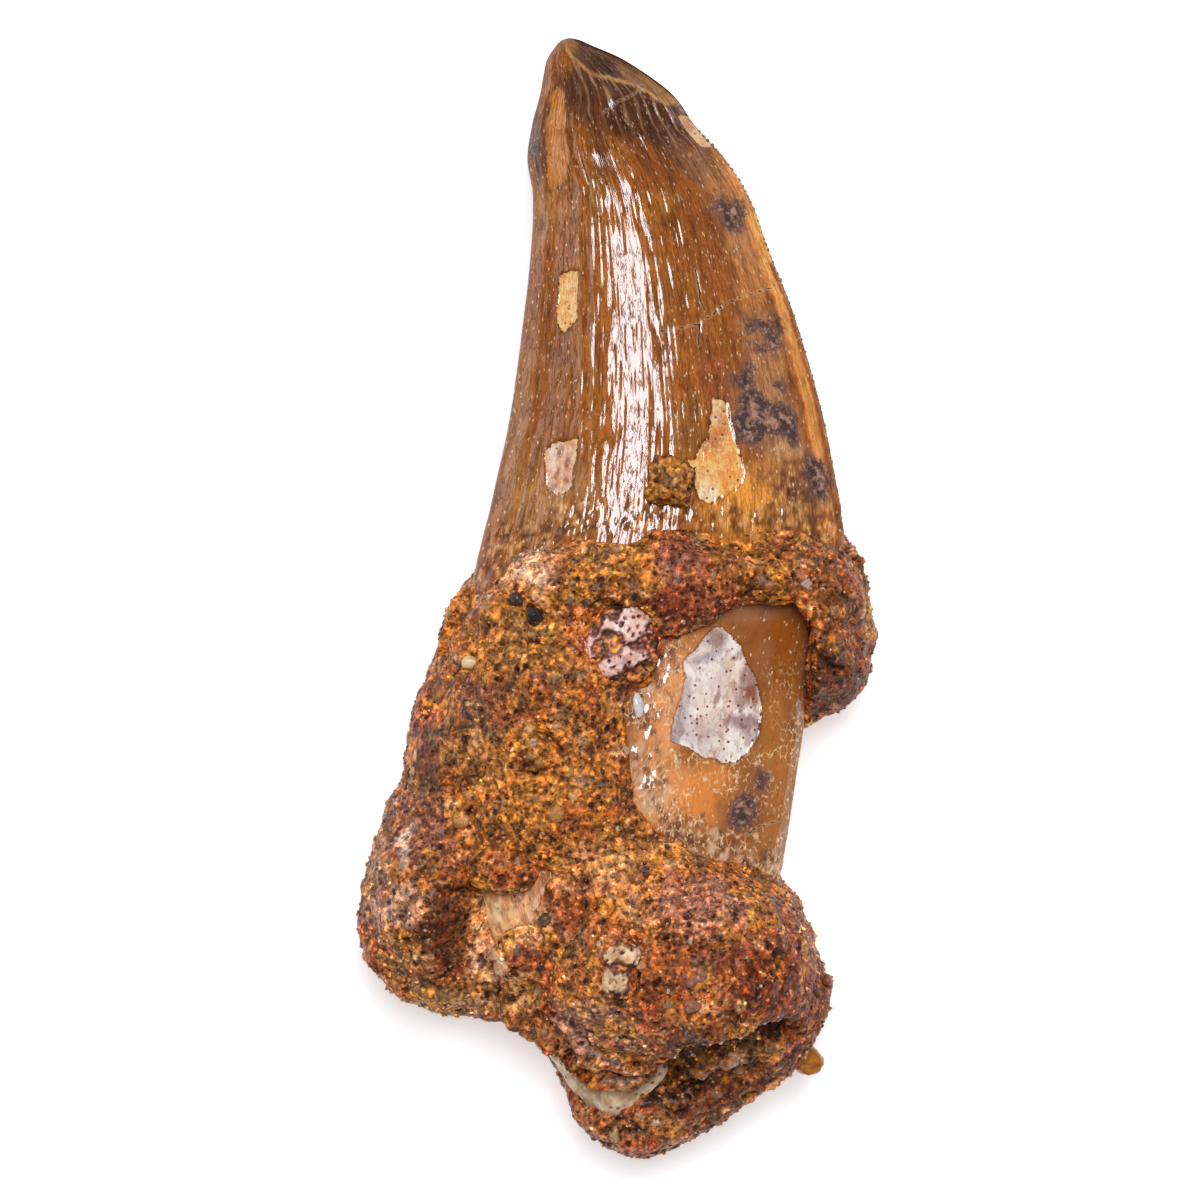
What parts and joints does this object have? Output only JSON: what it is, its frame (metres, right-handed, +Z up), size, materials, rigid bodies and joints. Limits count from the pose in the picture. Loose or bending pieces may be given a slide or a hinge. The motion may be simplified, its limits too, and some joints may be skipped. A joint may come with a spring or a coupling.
{
  "type": "fossil theropod tooth in sandstone matrix",
  "caption": "Curved, blade-like serrated fossil tooth, crown and root, lying flat with gritty sandstone still cemented round the root.",
  "frame": {"origin": "on the ground under the middle of the whole fossil, level with the flat spot that the stone rests on", "axes": "+Y from the root end to the tip, +X towards the tooth's serrated front edge, +Z up out of the broad face that is seen"},
  "size_m": [0.0465, 0.1014, 0.0244],
  "materials": {
    "tooth": "gloss",
    "sandstone": "matte",
    "sand_nodule": "matte",
    "porous_bone": "satin",
    "cream_bone": "satin",
    "milky_quartz": "gloss",
    "black_stone": "gloss",
    "brown_stone": "gloss",
    "cream_stone": "satin",
    "amber_stone": "gloss",
    "ochre_stone": "satin"
  },
  "bodies": {
    "root": {"tooth": "tooth", "sandstone": "sandstone", "crown_nodule": "sand_nodule", "bone_fragment": "porous_bone", "lower_bone_fragment": "cream_bone", "quartz_chip": "milky_quartz", "black_pebble": "black_stone", "brown_pebble": "brown_stone", "cream_pebble": "cream_stone", "amber_pebble": "amber_stone", "ochre_pebble": "ochre_stone", "rim_pebble": "ochre_stone"}
  },
  "joints": []
}
